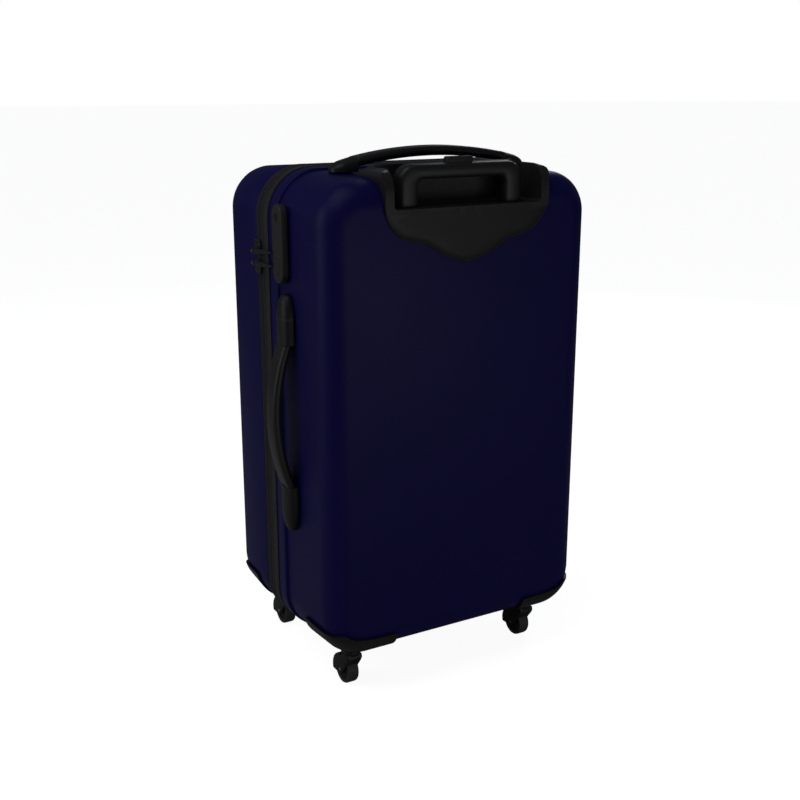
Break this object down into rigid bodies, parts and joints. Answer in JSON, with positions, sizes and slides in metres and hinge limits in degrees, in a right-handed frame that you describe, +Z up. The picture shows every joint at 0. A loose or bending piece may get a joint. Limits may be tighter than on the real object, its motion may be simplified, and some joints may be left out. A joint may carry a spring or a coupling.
{
  "type": "hard shell suitcase",
  "caption": "Hard shell suitcase with a zip between its halves, telescopic pull handle, carry handles, lock, corner guards and swivel casters.",
  "frame": {"origin": "bottom centre of the whole object, on the floor under the case", "axes": "+Z up, -Y the rear face with the pull handle, +Y the plain front face, +X the hinge side, -X the side with the lock and side handle"},
  "size_m": [0.4264, 0.3118, 0.6993],
  "materials": {
    "shell_navy": "moulded, satin gloss, fine grain",
    "trim_black": "moulded, fine grain",
    "grip_black": "soft satin",
    "plain_black": "moulded, satin",
    "zip_tape": "woven tape",
    "zip_coil": "spiral zip coil",
    "zip_metal": "black enamel",
    "wheel_rubber": "cast wheel tyre",
    "tube_alloy": "drawn and anodised",
    "pin_steel": "turned"
  },
  "bodies": {
    "rear_case": {"rear_shell": "shell_navy", "rear_zip_tape": "zip_tape", "rear_zip_coil": "zip_coil", "rear_hinge_tape": "zip_tape", "pull_handle_housing": "trim_black", "outer_tube_left": "tube_alloy", "outer_tube_right": "tube_alloy", "tube_base_bracket": "plain_black", "tube_cover": "plain_black", "lock_body": "plain_black", "side_handle_cap_lower": "trim_black", "side_handle_cap_upper": "trim_black", "top_handle_cap_left": "trim_black", "top_handle_cap_right": "trim_black", "corner_guard_rear_left": "trim_black", "corner_guard_rear_right": "trim_black", "swivel_pin_rear_left": "pin_steel", "swivel_pin_rear_right": "pin_steel"},
    "front_case": {"front_shell": "shell_navy", "front_zip_coil": "zip_coil", "front_hinge_tape": "zip_tape", "corner_guard_front_left": "trim_black", "corner_guard_front_right": "trim_black", "swivel_pin_front_left": "pin_steel", "swivel_pin_front_right": "pin_steel"},
    "middle_stage": {"middle_tube_left": "tube_alloy", "middle_tube_right": "tube_alloy"},
    "grip_stage": {"inner_tube_left": "tube_alloy", "inner_tube_right": "tube_alloy", "pull_handle_grip": "grip_black"},
    "pull_button": {"pull_handle_button": "plain_black"},
    "lock_button": {"lock_release_button": "plain_black"},
    "lock_barrel": {"lock_key_barrel": "plain_black"},
    "slider_upper": {"zip_slider_upper": "zip_metal"},
    "slider_lower": {"zip_slider_lower": "zip_metal"},
    "puller_upper": {"zip_puller_upper": "zip_metal"},
    "puller_lower": {"zip_puller_lower": "zip_metal"},
    "side_grip": {"side_handle_grip": "grip_black"},
    "top_grip": {"top_handle_grip": "grip_black"},
    "caster_rear_left": {"caster_fork_rear_left": "trim_black", "wheel_axle_rear_left": "pin_steel"},
    "wheel_rear_left": {"wheel_hub_rear_left": "plain_black", "wheel_tyre_rear_left": "wheel_rubber"},
    "caster_rear_right": {"caster_fork_rear_right": "trim_black", "wheel_axle_rear_right": "pin_steel"},
    "wheel_rear_right": {"wheel_hub_rear_right": "plain_black", "wheel_tyre_rear_right": "wheel_rubber"},
    "caster_front_left": {"caster_fork_front_left": "trim_black", "wheel_axle_front_left": "pin_steel"},
    "wheel_front_left": {"wheel_hub_front_left": "plain_black", "wheel_tyre_front_left": "wheel_rubber"},
    "caster_front_right": {"caster_fork_front_right": "trim_black", "wheel_axle_front_right": "pin_steel"},
    "wheel_front_right": {"wheel_hub_front_right": "plain_black", "wheel_tyre_front_right": "wheel_rubber"}
  },
  "joints": [
    {"name": "front_open", "type": "hinge", "parent": "rear_case", "child": "front_case", "pos_m": [0.21327, 0.02185, 0.3665], "axis": [0, 0, -1], "range_deg": [0, 180]},
    {"name": "middle_stage_slide", "type": "slide", "parent": "rear_case", "child": "middle_stage", "axis": [0, 0, 1], "range_m": [0, 0.19]},
    {"name": "grip_stage_slide", "type": "slide", "parent": "middle_stage", "child": "grip_stage", "axis": [0, 0, 1], "range_m": [0, 0.19]},
    {"name": "pull_button_press", "type": "slide", "parent": "grip_stage", "child": "pull_button", "axis": [0, 0, -1], "range_m": [0, 0.003], "stiffness_N_per_m": 300, "springref_m": -0.003},
    {"name": "lock_button_press", "type": "slide", "parent": "rear_case", "child": "lock_button", "axis": [1, 0, 0], "range_m": [0, 0.0018], "stiffness_N_per_m": 300, "springref_m": -0.002},
    {"name": "lock_key_turn", "type": "hinge", "parent": "rear_case", "child": "lock_barrel", "pos_m": [-0.19353, -0.04365, 0.6185], "axis": [-1, 0, 0], "range_deg": [0, 90]},
    {"name": "zip_upper_run", "type": "slide", "parent": "rear_case", "child": "slider_upper", "axis": [0, 0, 1], "range_m": [0, 0.03]},
    {"name": "zip_lower_run", "type": "slide", "parent": "rear_case", "child": "slider_lower", "axis": [0, 0, -1], "range_m": [0, 0.39]},
    {"name": "zip_puller_upper_swing", "type": "hinge", "parent": "slider_upper", "child": "puller_upper", "pos_m": [-0.19663, 0.02285, 0.571], "axis": [0, 0, -1], "range_deg": [0, 165]},
    {"name": "zip_puller_lower_swing", "type": "hinge", "parent": "slider_lower", "child": "puller_lower", "pos_m": [-0.19663, 0.02285, 0.556], "axis": [0, 0, -1], "range_deg": [0, 165]},
    {"name": "side_handle_lift", "type": "slide", "parent": "rear_case", "child": "side_grip", "axis": [-1, 0, 0], "range_m": [0, 0.004], "stiffness_N_per_m": 300},
    {"name": "top_handle_lift", "type": "slide", "parent": "rear_case", "child": "top_grip", "axis": [0, 0, 1], "range_m": [0, 0.004], "stiffness_N_per_m": 300},
    {"name": "caster_swivel_rear_left", "type": "hinge", "parent": "rear_case", "child": "caster_rear_left", "pos_m": [-0.12733, -0.09715, 0.0465], "axis": [0, 0, 1], "continuous": true},
    {"name": "wheel_spin_rear_left", "type": "hinge", "parent": "caster_rear_left", "child": "wheel_rear_left", "pos_m": [-0.12733, -0.08515, 0.0197], "axis": [1, 0, 0], "continuous": true},
    {"name": "caster_swivel_rear_right", "type": "hinge", "parent": "rear_case", "child": "caster_rear_right", "pos_m": [0.15067, -0.09715, 0.0465], "axis": [0, 0, 1], "continuous": true},
    {"name": "wheel_spin_rear_right", "type": "hinge", "parent": "caster_rear_right", "child": "wheel_rear_right", "pos_m": [0.15067, -0.08515, 0.0197], "axis": [1, 0, 0], "continuous": true},
    {"name": "caster_swivel_front_left", "type": "hinge", "parent": "front_case", "child": "caster_front_left", "pos_m": [-0.12733, 0.10285, 0.0465], "axis": [0, 0, 1], "continuous": true},
    {"name": "wheel_spin_front_left", "type": "hinge", "parent": "caster_front_left", "child": "wheel_front_left", "pos_m": [-0.12733, 0.11485, 0.0197], "axis": [1, 0, 0], "continuous": true},
    {"name": "caster_swivel_front_right", "type": "hinge", "parent": "front_case", "child": "caster_front_right", "pos_m": [0.15067, 0.10285, 0.0465], "axis": [0, 0, 1], "continuous": true},
    {"name": "wheel_spin_front_right", "type": "hinge", "parent": "caster_front_right", "child": "wheel_front_right", "pos_m": [0.15067, 0.11485, 0.0197], "axis": [1, 0, 0], "continuous": true}
  ]
}
